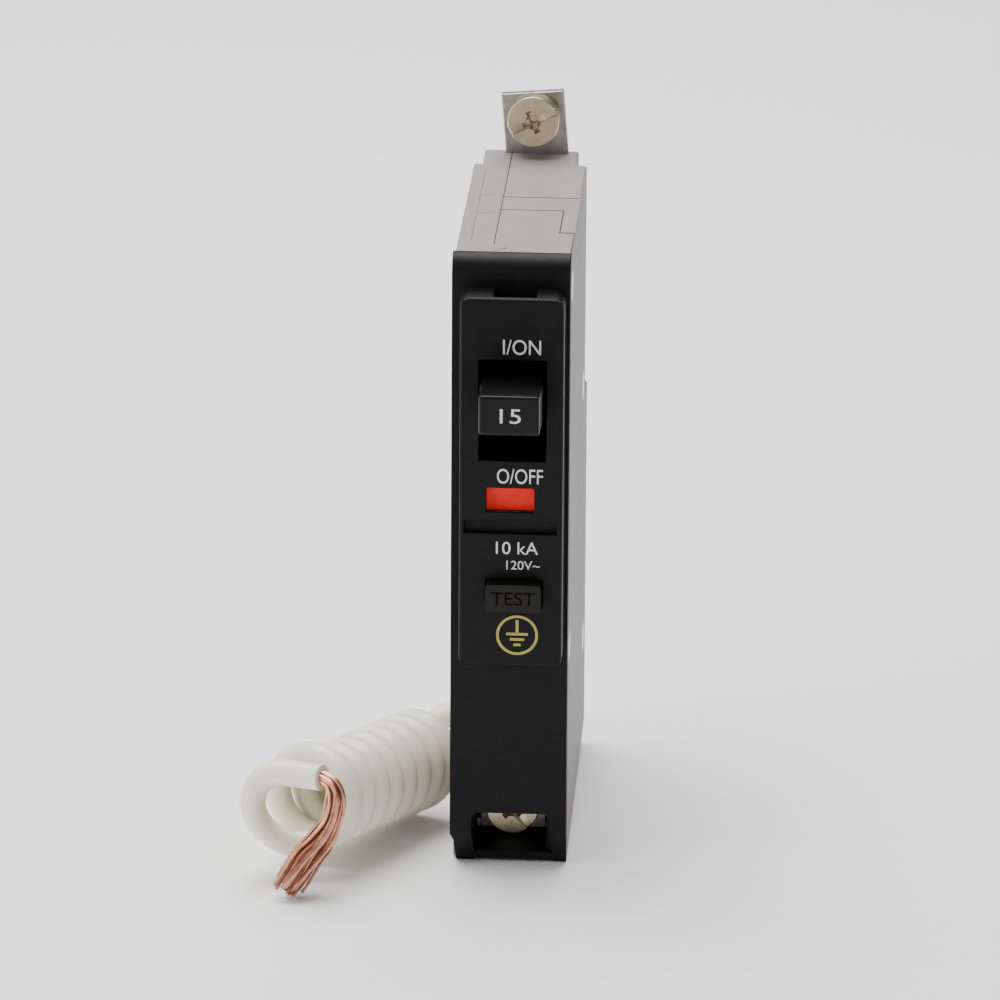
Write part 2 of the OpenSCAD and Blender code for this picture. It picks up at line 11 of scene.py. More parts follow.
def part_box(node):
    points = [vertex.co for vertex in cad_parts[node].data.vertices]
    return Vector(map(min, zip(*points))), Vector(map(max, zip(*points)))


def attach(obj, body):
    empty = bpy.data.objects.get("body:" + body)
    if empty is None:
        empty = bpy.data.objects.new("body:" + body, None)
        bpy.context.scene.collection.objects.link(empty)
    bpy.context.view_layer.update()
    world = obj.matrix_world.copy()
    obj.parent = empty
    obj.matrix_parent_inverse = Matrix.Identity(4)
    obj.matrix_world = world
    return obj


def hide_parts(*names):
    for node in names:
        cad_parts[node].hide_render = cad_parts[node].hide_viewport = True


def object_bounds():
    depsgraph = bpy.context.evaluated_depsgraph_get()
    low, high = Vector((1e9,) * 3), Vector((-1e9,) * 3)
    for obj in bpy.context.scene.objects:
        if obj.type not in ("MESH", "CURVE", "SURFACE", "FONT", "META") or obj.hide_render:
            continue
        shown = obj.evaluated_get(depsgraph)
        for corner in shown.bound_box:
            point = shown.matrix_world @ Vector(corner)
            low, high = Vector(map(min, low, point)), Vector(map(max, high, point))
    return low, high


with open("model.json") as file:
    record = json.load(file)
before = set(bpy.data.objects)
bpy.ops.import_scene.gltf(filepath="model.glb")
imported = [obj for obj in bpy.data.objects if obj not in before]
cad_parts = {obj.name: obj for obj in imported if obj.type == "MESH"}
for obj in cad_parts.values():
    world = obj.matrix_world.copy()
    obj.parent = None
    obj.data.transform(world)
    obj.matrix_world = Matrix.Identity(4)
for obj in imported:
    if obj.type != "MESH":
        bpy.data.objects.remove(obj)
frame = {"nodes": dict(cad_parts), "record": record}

bl_info = {
    "name": "Ground-fault breaker",
    "version": (1, 0, 0),
    "blender": (4, 5, 0),
    "location": "3D View > Sidebar > Breaker",
    "description": "Builds the visible pieces and finishes of a bolt-on breaker with a coiled pigtail",
    "category": "Object",
}

MM = 0.001
CASE_DEPTH = 59.3 * MM
CAD_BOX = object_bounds()
CAP_LOW, CAP_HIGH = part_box("front_cap")
_, SHELL_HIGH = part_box("base_shell")
# The case's own reference point: middle of the width, main front plane, lowest point
CASE = Vector(((CAP_LOW.x + CAP_HIGH.x) / 2, SHELL_HIGH.y - CASE_DEPTH, CAP_LOW.z))
ESCUTCHEON_Y = CAP_LOW.y


def case_point(x, y, z):
    """A point given in the case's own millimetres, in the row frame."""
    return CASE + Vector((x, y, z)) * MM


def case_place(spot):
    """The opposite: a point of the row frame in the case's millimetres."""
    return (spot - CASE) / MM


# Settings that a user would change


class BreakerSizes(bpy.types.PropertyGroup):
    cap_round: bpy.props.FloatProperty(
        name="Cap edge", description="Rounding of the black cap's edges",
        default=0.0002, unit="LENGTH", precision=5)
    panel_round: bpy.props.FloatProperty(
        name="Panel edge", description="Rounding of the raised panel's outline",
        default=0.00055, unit="LENGTH", precision=5)
    case_round: bpy.props.FloatProperty(
        name="Case edge", description="Rounding of the grey case's edges",
        default=0.0003, unit="LENGTH", precision=5)
    metal_round: bpy.props.FloatProperty(
        name="Metal edge", description="Rounding of stamped metal edges",
        default=0.00014, unit="LENGTH", precision=5)
    wire_diameter: bpy.props.FloatProperty(
        name="Wire", description="Diameter of the pigtail's insulated wire",
        default=0.0043, unit="LENGTH", precision=5)
    coil_diameter: bpy.props.FloatProperty(
        name="Coil", description="Outer diameter of the pigtail's coil",
        default=0.017, unit="LENGTH", precision=5)
    strand_diameter: bpy.props.FloatProperty(
        name="Strand", description="Diameter of one bare copper strand",
        default=0.00062, unit="LENGTH", precision=5)


class BreakerColours(bpy.types.PropertyGroup):
    case: bpy.props.FloatVectorProperty(
        name="Case", description="Moulded grey of the case halves", subtype="COLOR",
        default=(0.27, 0.246, 0.235), min=0, max=1)
    cap: bpy.props.FloatVectorProperty(
        name="Cap", description="Moulded black of the front", subtype="COLOR",
        default=(0.0046, 0.0043, 0.0045), min=0, max=1)
    print_ink: bpy.props.FloatVectorProperty(
        name="Print", description="Pale ink of the printed marks", subtype="COLOR",
        default=(0.66, 0.65, 0.64), min=0, max=1)
    symbol: bpy.props.FloatVectorProperty(
        name="Symbol", description="Gold ink of the earth symbol", subtype="COLOR",
        default=(0.36, 0.31, 0.06), min=0, max=1)
    flag: bpy.props.FloatVectorProperty(
        name="Trip flag", description="Red of the trip flag", subtype="COLOR",
        default=(0.8, 0.006, 0.001), min=0, max=1)
    insulation: bpy.props.FloatVectorProperty(
        name="Insulation", description="Ivory of the wire's insulation", subtype="COLOR",
        default=(0.88, 0.85, 0.69), min=0, max=1)
    copper: bpy.props.FloatVectorProperty(
        name="Copper", description="Bare copper of the strands", subtype="COLOR",
        default=(0.68, 0.335, 0.235), min=0, max=1)


# Finishes


class Signal:
    """A shader socket that can be used in sums, differences and products."""

    def __init__(self, finish, socket):
        self.finish, self.socket = finish, socket

    def calc(self, operation, *values):
        return self.finish.node("ShaderNodeMath", {"operation": operation}, dict(enumerate(values)))

    def __add__(self, other):
        return self.calc("ADD", self, other)

    def __sub__(self, other):
        return self.calc("SUBTRACT", self, other)

    def __rsub__(self, other):
        return self.calc("SUBTRACT", other, self)

    def __mul__(self, other):
        return self.calc("MULTIPLY", self, other)

    __radd__ = __add__
    __rmul__ = __mul__


class Finish:
    """One procedural material on the Principled shader, with uniform values set on its own sockets."""

    def __init__(self, name, rough=0.5, metal=0.0, **sockets):
        self.material = bpy.data.materials.new(name)
        self.material.use_nodes = True
        self.tree = self.material.node_tree
        self.shader = self.tree.nodes["Principled BSDF"]
        self.set("Roughness", rough)
        self.set("Metallic", metal)
        for socket, value in sockets.items():
            self.set(socket.replace("_", " "), value)

    def set(self, socket, value):
        """Gives one of the shader's sockets a number, a colour or a signal."""
        self.feed(self.shader.inputs[socket], value)

    def feed(self, socket, value):
        if isinstance(value, Signal):
            self.tree.links.new(value.socket, socket)
        elif isinstance(value, (tuple, list, Vector)) and socket.type == "RGBA":
            socket.default_value = (*value, 1.0)[:4]
        else:
            socket.default_value = value

    def node(self, kind, settings=None, inputs=None, output=0):
        """Adds a node: its settings first, a ramp's stops among them, then its sockets."""
        made = self.tree.nodes.new(kind)
        for key, value in (settings or {}).items():
            if key == "stops":
                self.fill_ramp(made.color_ramp, value)
            else:
                setattr(made, key, value)
        for key, value in (inputs or {}).items():
            self.feed(made.inputs[key], value)
        return Signal(self, made.outputs[output])

    def fill_ramp(self, ramp, stops):
        for place, _ in stops[2:]:
            ramp.elements.new(place)
        for element, (place, shade) in zip(ramp.elements, sorted(stops, key=lambda s: s[0])):
            element.position = place
            element.color = (shade, shade, shade, 1.0)

    def here(self):
        return self.node("ShaderNodeTexCoord", output=3)

    def noise(self, size, detail=3.0, stretch=None, roughness=0.55):
        """Noise whose features are about size metres across, stretched along an axis if asked."""
        place = self.here()
        if stretch:
            settings = {"vector_type": "POINT"}
            place = self.node("ShaderNodeMapping", settings, {"Vector": place, "Scale": stretch})
        inputs = {"Vector": place, "Scale": 1 / size, "Detail": detail, "Roughness": roughness}
        return self.node("ShaderNodeTexNoise", None, inputs)

    def cells(self, size):
        inputs = {"Vector": self.here(), "Scale": 1 / size}
        return self.node("ShaderNodeTexVoronoi", {"feature": "F1"}, inputs)

    def ramp(self, value, *stops):
        return self.node("ShaderNodeValToRGB", {"stops": stops}, {"Fac": value})

    def blend(self, amount, first, second):
        """Mixes two colours."""
        settings = {"data_type": "RGBA", "clamp_factor": True}
        return self.node("ShaderNodeMix", settings, {0: amount, 6: first, 7: second}, output=2)

    def bump(self, height, strength, distance):
        inputs = {"Height": height, "Strength": strength, "Distance": distance}
        self.set("Normal", self.node("ShaderNodeBump", None, inputs))


def shade(colour, factor):
    return tuple(min(1.0, c * factor) for c in colour)


def moulded(name, colour, rough=0.42, speckle=0.12, grain=0.00022, height=0.000012, dust=0.0,
            **sockets):
    """Moulded plastic: fine grain, faint mottling, and dust that dulls it in places."""
    f = Finish(name, **sockets)
    fine = f.noise(grain, 4)
    wide = f.noise(0.006, 3)
    tone = f.ramp(fine * 0.6 + wide * 0.4, (0.3, 0.0), (0.7, 1.0))
    base = f.blend(tone, shade(colour, 1 - speckle), shade(colour, 1 + speckle))
    if dust:
        settled = f.ramp(f.noise(0.0035, 6, roughness=0.7), (0.5, 0.0), (0.82, dust))
        base = f.blend(settled, base, (0.2, 0.19, 0.18))
    f.set("Base Color", base)
    f.set("Roughness", f.noise(0.0012, 5) * 0.16 + (rough - 0.08))
    f.bump(fine, 0.5, height)
    return f.material


def metal(name, colour, second=None, rough=0.3, streak=(1.0, 1.0, 14.0), grain=0.0016,
          height=0.000008):
    """Plated or rolled metal: drawn streaks, clouded tint and small knocks."""
    f = Finish(name, metal=1.0)
    streaks = f.noise(grain, 5, stretch=streak)
    cloud = f.noise(0.0022, 3)
    base = f.blend(f.ramp(cloud, (0.35, 0.0), (0.68, 1.0)), colour, second or shade(colour, 0.72))
    knocks = f.ramp(f.noise(0.0007, 2), (0.28, 1.0), (0.36, 0.0))
    f.set("Base Color", f.blend(knocks * 0.45, base, shade(colour, 0.4)))
    f.set("Roughness", streaks * 0.22 + knocks * 0.2 + (rough - 0.1))
    f.bump(streaks, 0.6, height)
    return f.material


def wire_insulation(name, colour):
    f = Finish(name, rough=0.36, Coat_Weight=0.12, Coat_Roughness=0.25)
    wide = f.noise(0.004, 3)
    fine = f.noise(0.0005, 3)
    base = f.blend(f.ramp(wide, (0.32, 0.0), (0.7, 1.0)), shade(colour, 0.93), shade(colour, 1.05))
    smudge = f.ramp(f.noise(0.0018, 5, roughness=0.7), (0.6, 0.0), (0.78, 0.32))
    f.set("Base Color", f.blend(smudge, base, shade(colour, 0.72)))
    f.set("Roughness", fine * 0.14 + 0.3)
    f.bump(fine, 0.35, 0.00001)
    return f.material


def bare_copper(name, colour):
    f = Finish(name, metal=1.0)
    cloud = f.noise(0.0016, 4)
    tarnish = f.ramp(cloud, (0.38, 0.0), (0.72, 1.0))
    f.set("Base Color", f.blend(tarnish, shade(colour, 1.1), shade(colour, 0.6)))
    f.set("Roughness", f.noise(0.0006, 3) * 0.2 + 0.26)
    f.bump(cloud, 0.3, 0.00001)
    return f.material


def flag_with_painted_glow(name, colour):
    # Painted glow: the flag's red also feeds the emission. This lights the flag up inside its shaded
    # recess behind the window, though it is no lamp.
    f = Finish(name, rough=0.5, Specular_IOR_Level=0.2, Emission_Strength=0.3)
    tone = f.ramp(f.noise(0.0009, 3), (0.35, 0.0), (0.7, 1.0))
    red = f.blend(tone, shade(colour, 0.86), shade(colour, 1.15))
    f.set("Base Color", red)
    f.set("Emission Color", red)
    return f.material


def window_plastic(name):
    f = Finish(name, rough=0.1, IOR=1.49)
    haze = f.noise(0.0008, 4)
    f.set("Base Color", f.blend(haze, (0.7, 0.12, 0.08), (0.6, 0.08, 0.05)))
    f.set("Alpha", haze * 0.05 + 0.03)
    return f.material


def circuit_board(name):
    """Green lacquer over a pattern of tracks, with tinned pads."""
    f = Finish(name, rough=0.3)
    tracks = f.ramp(f.cells(0.0021), (0.46, 0.0), (0.5, 1.0))
    pads = f.ramp(f.cells(0.0033), (0.1, 1.0), (0.14, 0.0))
    green = f.blend(tracks, (0.012, 0.1, 0.035), (0.02, 0.17, 0.06))
    f.set("Base Color", f.blend(pads, green, (0.55, 0.55, 0.52)))
    f.set("Metallic", pads * 0.9)
    return f.material


FINISHES = {}


def finish(slot):
    return FINISHES[slot]


def make_finishes(colours):
    """One finish for each of the record's material slots, and the inks."""
    FINISHES.update({
        "grey_case": moulded("grey_case", colours.case, 0.5, 0.07, dust=0.04,
                             Specular_IOR_Level=0.1),
        "black_cap": moulded("black_cap", colours.cap, 0.5, 0.25, dust=0.02,
                             Specular_IOR_Level=0.15),
        "black_handle": moulded("black_handle", shade(colours.cap, 0.85), 0.36, 0.2, dust=0.02,
                                Specular_IOR_Level=0.18),
        "clear_lens": window_plastic("clear_lens"),
        "inner_plastic": moulded("inner_plastic", (0.03, 0.03, 0.032), 0.5, 0.2),
        "dull_plastic": moulded("dull_plastic", (0.12, 0.105, 0.1), 0.6, 0.15),
        "steel": metal("steel", (0.55, 0.55, 0.54)),
        "copper": metal("copper", (0.72, 0.34, 0.19), rough=0.34),
        "silver_contact": metal("silver_contact", (0.78, 0.77, 0.73), rough=0.28),
        "tinned_copper": metal("tinned_copper", (0.46, 0.45, 0.41), (0.34, 0.335, 0.3), 0.34),
        "zinc_yellow": metal("zinc_yellow", (0.66, 0.6, 0.46), (0.6, 0.49, 0.32), 0.3,
                             (1, 1, 1)),
        "zinc_clear": metal("zinc_clear", (0.6, 0.61, 0.62), (0.48, 0.5, 0.54), 0.28,
                            (1, 1, 1)),
        "dull_steel": metal("dull_steel", (0.3, 0.3, 0.31), rough=0.45),
        "fibre": moulded("fibre", (0.42, 0.3, 0.2), 0.7, 0.25, grain=0.0006),
        "red_flag": flag_with_painted_glow("red_flag", colours.flag),
        "bimetal": metal("bimetal", (0.5, 0.45, 0.37), rough=0.33),
        "board_green": circuit_board("board_green"),
        "core_blue": moulded("core_blue", (0.04, 0.06, 0.16), 0.5, 0.3, grain=0.0004),
        "enamel_wire": bare_copper("enamel_wire", (0.6, 0.22, 0.1)),
        "button_plastic": moulded("button_plastic", (0.0062, 0.0054, 0.003), 0.4, 0.2,
                                  Specular_IOR_Level=0.2),
        "brass_leaf": metal("brass_leaf", (0.66, 0.48, 0.2)),
        "ivory_plastic": moulded("ivory_plastic", shade(colours.insulation, 0.95), 0.45, 0.06),
        "ivory_insulation": wire_insulation("ivory_insulation", colours.insulation),
        "bare_copper": bare_copper("bare_copper", colours.copper),
        "black_ink": moulded("black_ink", (0.0012, 0.0012, 0.0012), 0.6, 0.2,
                             Specular_IOR_Level=0.04),
        "pale_ink": moulded("pale_ink", colours.print_ink, 0.6, 0.16, grain=0.00012),
        "gold_ink": moulded("gold_ink", colours.symbol, 0.42, 0.2, grain=0.00012),
        "pale_floor": moulded("pale_floor", (0.94, 0.94, 0.94), 0.8, 0.01, 0.004, 0.00001),
    })


# Shared shaping


def add_piece(name, shape, body, slot, replaces=(), material=None, smooth=35):
    """Makes an object of a bmesh or mesh, gives it its slot's finish or the material given, ties it to
    its body and hides the CAD nodes that it replaces.
    """
    if isinstance(shape, bmesh.types.BMesh):
        mesh = bpy.data.meshes.new(name)
        shape.to_mesh(mesh)
        shape.free()
    else:
        mesh = shape
        mesh.name = name
    piece = bpy.data.objects.new(name, mesh)
    bpy.context.scene.collection.objects.link(piece)
    mesh.materials.clear()
    mesh.materials.append(material or finish(slot))
    if smooth:
        mesh.shade_smooth()
        mesh.set_sharp_from_angle(angle=math.radians(smooth))
        normals = piece.modifiers.new("flat_faces", "WEIGHTED_NORMAL")
        normals.keep_sharp = True
    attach(piece, body)
    if replaces:
        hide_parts(*replaces)
    return piece


def merged(node):
    """A copy of a CAD node's mesh with its doubles merged and its flat faces joined."""
    bm = bmesh.new()
    bm.from_mesh(frame["nodes"][node].data)
    bmesh.ops.remove_doubles(bm, verts=bm.verts, dist=2e-6)
    bmesh.ops.dissolve_limit(bm, angle_limit=math.radians(0.5), verts=bm.verts, edges=bm.edges)
    return bm


def round_edges(bm, width, segments=2, pick=None):
    """Rounds the sharp edges, or those of them whose middle pick accepts, in the case's millimetres."""
    sharp = [e for e in bm.edges
             if len(e.link_faces) == 2 and e.calc_face_angle(0.0) > math.radians(32)]
    if pick:
        sharp = [e for e in sharp if pick(case_place((e.verts[0].co + e.verts[1].co) / 2))]
    bmesh.ops.bevel(bm, geom=sharp, offset=width, offset_type="OFFSET", affect="EDGES",
                    segments=segments, profile=0.5, material=-1, clamp_overlap=not pick)
    return bm


def soften(node, width, body="case", segments=2, pick=None):
    """Replaces a CAD node with a copy whose sharp edges are rounded."""
    bm = round_edges(merged(node), width, segments, pick)
    return add_piece(f"{node}_shape", bm, body, slot_of(node), [node])


def slot_of(node):
    return next(s["material_slot"] for s in frame["record"]["subparts"] if s["node"] == node)


def smooth_path(points, steps):
    """A smooth line through the points, with steps stretches between each two."""
    points = [Vector(p) for p in points]
    ends = [points[0] * 2 - points[1], *points, points[-1] * 2 - points[-2]]
    line = []
    for a, b, c, d in zip(ends, ends[1:], ends[2:], ends[3:]):
        for k in range(steps):
            t = k / steps
            line.append(0.5 * (2 * b + (c - a) * t + (2 * a - 5 * b + 4 * c - d) * t * t
                               + (3 * b - a - 3 * c + d) * t ** 3))
    return [*line, points[-1]]


def line_curve(name, lines, radius, sides=3):
    """A curve object whose splines follow the lines, with a round section."""
    curve = bpy.data.curves.new(name, "CURVE")
    curve.dimensions = "3D"
    curve.bevel_depth = radius
    curve.bevel_resolution = sides
    curve.use_fill_caps = True
    for line in lines:
        spline = curve.splines.new("POLY")
        spline.points.add(len(line) - 1)
        spline.use_smooth = True
        for point, place in zip(spline.points, line):
            point.co = (*place, 1.0)
    made = bpy.data.objects.new(name, curve)
    bpy.context.scene.collection.objects.link(made)
    return made


def as_mesh(thing):
    """Turns a text or curve object into a mesh and removes the object."""
    bpy.context.view_layer.update()
    mesh = bpy.data.meshes.new_from_object(thing)
    bpy.data.objects.remove(thing)
    return mesh


def spring(name, start, axis, length, radius, wire, turns, body, slot, replaces):
    """A helical spring: a small disc spun round its axis as it climbs."""
    axis = Vector(axis).normalized()
    across = axis.orthogonal().normalized()
    start = Vector(start) + axis * wire
    bm = bmesh.new()
    ring = bmesh.ops.create_circle(bm, cap_ends=True, segments=8, radius=wire)["verts"]
    turn = Matrix((across, axis, across.cross(axis))).transposed().to_4x4()
    place = Matrix.Translation(start + across * (radius - wire))
    bmesh.ops.transform(bm, matrix=place @ turn, verts=ring)
    steps = int(turns * 16)
    bmesh.ops.spin(bm, geom=[*bm.verts, *bm.edges, *bm.faces], cent=start, axis=axis,
                   dvec=axis * ((length - 2 * wire) / steps), angle=2 * math.pi * turns,
                   steps=steps, use_merge=False, use_duplicate=False)
    bmesh.ops.recalc_face_normals(bm, faces=bm.faces)
    return add_piece(name, bm, body, slot, replaces)


def lettering(name, words, low, high, body, material, lift=0.00006, slot="black_cap"):
    """Flat letters facing the front, fitted between two opposite corners."""
    text = bpy.data.curves.new(name, "FONT")
    text.body = words
    text.extrude = 0.5
    holder = bpy.data.objects.new(name, text)
    bpy.context.scene.collection.objects.link(holder)
    mesh = as_mesh(holder)
    xs = [v.co.x for v in mesh.vertices]
    ys = [v.co.y for v in mesh.vertices]
    wide = (high.x - low.x) / (max(xs) - min(xs))
    tall = (high.z - low.z) / (max(ys) - min(ys))
    place = Matrix(((wide, 0, 0, low.x - min(xs) * wide), (0, 0, -lift, low.y),
                    (0, tall, 0, low.z - min(ys) * tall), (0, 0, 0, 1)))
    mesh.transform(place)
    bm = bmesh.new()
    bm.from_mesh(mesh)
    bmesh.ops.remove_doubles(bm, verts=bm.verts, dist=1e-7)
    bmesh.ops.recalc_face_normals(bm, faces=bm.faces)
    return add_piece(name, bm, body, slot, material=material, smooth=0)


# Operators, one for each group of pieces


class BREAKER_OT_stage(bpy.types.Operator):
    """Lay the pale floor, hang the soft lights and place the camera"""

    bl_idname = "breaker.stage"
    bl_label = "Stage"

    # Each light's name, way from the case, width and power
    LIGHTS = (("top_softbox", (-0.1, 0.25, 0.8), 0.8, 18.0),
              ("left_softbox", (-0.75, -0.45, 0.35), 0.6, 4.5),
              ("front_fill", (-0.2, -1.3, 0.9), 0.7, 1.0))
    LIGHTS_AIM = (0, 25, 50)
    SKY = 0.26
    FLOOR_DROP, FLOOR_REACH = 0.0002, 6.0
    # The camera's angles in degrees, its lens, its distance and the point that it faces
    AZIMUTH, ELEVATION, ROLL = 3.304, 19.04, 0.34
    LENS, DISTANCE, AIM = 319.2, 1.4566, (-3.02, 25, 54.43)

    def execute(self, context):
        floor_z = CAD_BOX[0].z - self.FLOOR_DROP
        bm = bmesh.new()
        bmesh.ops.create_grid(bm, x_segments=2, y_segments=2, size=self.FLOOR_REACH)
        bmesh.ops.translate(bm, vec=(0, 0, floor_z), verts=bm.verts)
        mesh = bpy.data.meshes.new("floor")
        bm.to_mesh(mesh)
        bm.free()
        mesh.materials.append(finish("pale_floor"))
        floor = bpy.data.objects.new("floor", mesh)
        context.scene.collection.objects.link(floor)
        for name, place, size, power in self.LIGHTS:
            self.light(context, name, place, size, power)
        world = bpy.data.worlds.new("soft_room")
        world.use_nodes = True
        world.node_tree.nodes["Background"].inputs["Color"].default_value = (1, 1, 1, 1)
        world.node_tree.nodes["Background"].inputs["Strength"].default_value = self.SKY
        context.scene.world = world
        self.camera(context)
        return {"FINISHED"}

    def light(self, context, name, place, size, power):
        data = bpy.data.lights.new(name, "AREA")
        data.shape = "SQUARE"
        data.size = size
        data.energy = power
        lamp = bpy.data.objects.new(name, data)
        lamp.location = case_point(*self.LIGHTS_AIM) + Vector(place)
        lamp.rotation_euler = Vector(place).to_track_quat("Z", "Y").to_euler()
        context.scene.collection.objects.link(lamp)

    def camera(self, context):
        """A long lens, a little above and to the right of the front."""
        azimuth, elevation = math.radians(self.AZIMUTH), math.radians(self.ELEVATION)
        back = Vector((math.sin(azimuth) * math.cos(elevation),
                       -math.cos(azimuth) * math.cos(elevation), math.sin(elevation)))
        data = bpy.data.cameras.new("camera")
        data.lens = self.LENS
        data.clip_start, data.clip_end = 0.05, 30
        camera = bpy.data.objects.new("camera", data)
        roll = Matrix.Rotation(math.radians(self.ROLL), 3, "Z")
        turn = back.to_track_quat("Z", "Y").to_matrix() @ roll
        place = Matrix.Translation(case_point(*self.AIM) + back * self.DISTANCE)
        camera.matrix_world = place @ turn.to_4x4()
        context.scene.collection.objects.link(camera)
        context.scene.camera = camera


class BREAKER_OT_pigtail(bpy.types.Operator):
    """Wind the coiled pigtail, with its gland and bare strands"""

    bl_idname = "breaker.pigtail"
    bl_label = "Pigtail"

    # The lead's route from the gland round the case's corner to the coil, in the case's millimetres
    LEAD = ((-4, 50, 7), (-4, 53.4, 6.9), (-4.5, 57.2, 6.2), (-6.6, 61, 5), (-10.4, 62.8, 3.8),
            (-14.4, 61.2, 2.8), (-16.9, 57, 2.4), (-17.8, 51.4, 2.3), (-18.4, 45.4, 2.3),
            (-19.6, 39.6, 2.3), (-21, 34.2, 2.5), (-21.8, 30.6, 3.8), (-22, 28.8, 6.2))
    # Middle of the bare strands, with the bundle's radius there
    STRANDS = ((-27.6, -13.7, 18.2, 1.5), (-27.1, -14.3, 16, 1.9), (-27.8, -14.5, 12.7, 2.1),
               (-29.5, -14.7, 9.4, 2.7), (-31.8, -15.4, 6.4, 3.1), (-33.8, -16.7, 3.3, 3.1),
               (-35.7, -18.3, 0.7, 2.7))
    NECK_RADIUS = 1.3
    # Near end of the coil's axis, and the way that it recedes
    COIL_START = (-35, -10.4, 12.4)
    COIL_WAY = (0.465, 0.881, -0.09)
    # The near turn is wider and hangs loose, and the second bows out to meet it; the others lie tight
    LOOSE_TURNS, LOOSE_LENGTH, LOOSE_SWELL, SECOND_SWELL = 0.75, 8.4, 0.8, 2.4
    # Turns before the near turn starts to draw away, and turns over which it is wider
    STILL_TURNS, WIDE_TURNS = 0.2, 0.6
    # The straight end: how far it goes right and up, and where its points are along it
    END_RIGHT, END_UP, END_SHARES = 6, 0.45, (0.28, 0.52, 0.76, 1)
    TURNS = 8.25
    POINTS_PER_TURN = 28
    COUNT = 26
    # The strands' angle from one to the next, its scatter, and their twist from point to point
    STRAND_STEP, STRAND_SCATTER, STRAND_TWIST = 2.4, 0.25, 0.14
    # How far a strand strays at each point past the neck, and the shortest share of its length kept
    STRAND_STRAY, SHORTEST = 0.00022, 0.93

    def execute(self, context):
        sizes = context.scene.breaker_sizes
        line = self.route(sizes)
        wire = line_curve("pigtail_wire", [line], sizes.wire_diameter / 2, 6)
        wire.data.materials.append(finish("ivory_insulation"))
        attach(wire, "case")
        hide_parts("pigtail_lead", "pigtail_coil")
        strands = self.strands(sizes, line)
        length = sum((b - a).length for a, b in zip(line, line[1:]))
        gland = soften("pigtail_gland", sizes.metal_round)
        return {"FINISHED"}

    def route(self, sizes):
        """The wire's centreline: the lead from the gland, the coil's turns, and a short straight end."""
        way = Vector(self.COIL_WAY).normalized()
        right = way.cross(Vector((0, 0, 1))).normalized()
        up = right.cross(way)
        start = case_point(*self.COIL_START)
        radius = (sizes.coil_diameter - sizes.wire_diameter) / 2
        coil = []
        for k in range(round(self.TURNS * self.POINTS_PER_TURN) + 1):
            turn = k / self.POINTS_PER_TURN
            loose = max(turn - self.STILL_TURNS, 0) / (self.LOOSE_TURNS - self.STILL_TURNS)
            loose = min(loose, 1)
            tight = max(turn - self.LOOSE_TURNS, 0)
            along = (tight * sizes.wire_diameter
                     + (3 - 2 * loose) * loose ** 2 * self.LOOSE_LENGTH * MM)
            angle = math.pi / 2 + 2 * math.pi * turn
            swell = self.LOOSE_SWELL * MM * math.sin(math.pi * min(turn / self.WIDE_TURNS, 1))
            if self.LOOSE_TURNS < turn < self.LOOSE_TURNS + 1:
                bow = math.sin(math.pi * (turn - self.LOOSE_TURNS)) ** 4
                swell = self.SECOND_SWELL * MM * bow
            out = math.cos(angle) * right + math.sin(angle) * up
            coil.append(start + way * along + (radius + swell) * out)
        end = [coil[0] + (right * self.END_RIGHT + up * self.END_UP) * share * MM
               for share in self.END_SHARES]
        lead = smooth_path([case_point(*p) for p in self.LEAD] + [coil[-1]], 5)
        return [*lead[:-1], *reversed(coil), *end]

    def strands(self, sizes, line):
        """Bare copper strands that leave the insulation together and fan out towards their cut ends."""
        rng = random.Random(11)
        lowest = CAD_BOX[0] + Vector((1, 1, 1)) * sizes.strand_diameter
        middle = [line[-2], line[-1], *(case_point(*p[:3]) for p in self.STRANDS)]
        reach = [self.NECK_RADIUS, self.NECK_RADIUS, *(p[3] for p in self.STRANDS)]
        lines = []
        for k in range(self.COUNT):
            ring = math.sqrt((k + 0.3) / self.COUNT)
            scatter = rng.uniform(-self.STRAND_SCATTER, self.STRAND_SCATTER)
            angle = k * self.STRAND_STEP + scatter
            wander = Vector((0, 0, 0))
            points = []
            for i, (spot, radius) in enumerate(zip(middle, reach)):
                onward = middle[min(i + 1, len(middle) - 1)]
                ahead = (onward - middle[max(i - 1, 0)]).normalized()
                across = ahead.orthogonal() if abs(ahead.y) > 0.9 else Vector((0, 1, 0)).cross(ahead)
                across.normalize()
                turned = angle + i * self.STRAND_TWIST
                out = across * math.cos(turned) + ahead.cross(across) * math.sin(turned)
                if i > 2:
                    wander += Vector([rng.uniform(-1, 1) for _ in range(3)]) * self.STRAND_STRAY
                room = radius * MM - sizes.strand_diameter / 2
                points.append(spot + out * ring * room + wander)
            path = [Vector((p.x, max(p.y, lowest.y), max(p.z, lowest.z)))
                    for p in smooth_path(points, 6)]
            lines.append(path[:int(len(path) * rng.uniform(self.SHORTEST, 1.0))])
        mesh = as_mesh(line_curve("strand_lines", lines, sizes.strand_diameter / 2, 2))
        return add_piece("pigtail_bare_strands", mesh, "case", "bare_copper", ["pigtail_strands"])


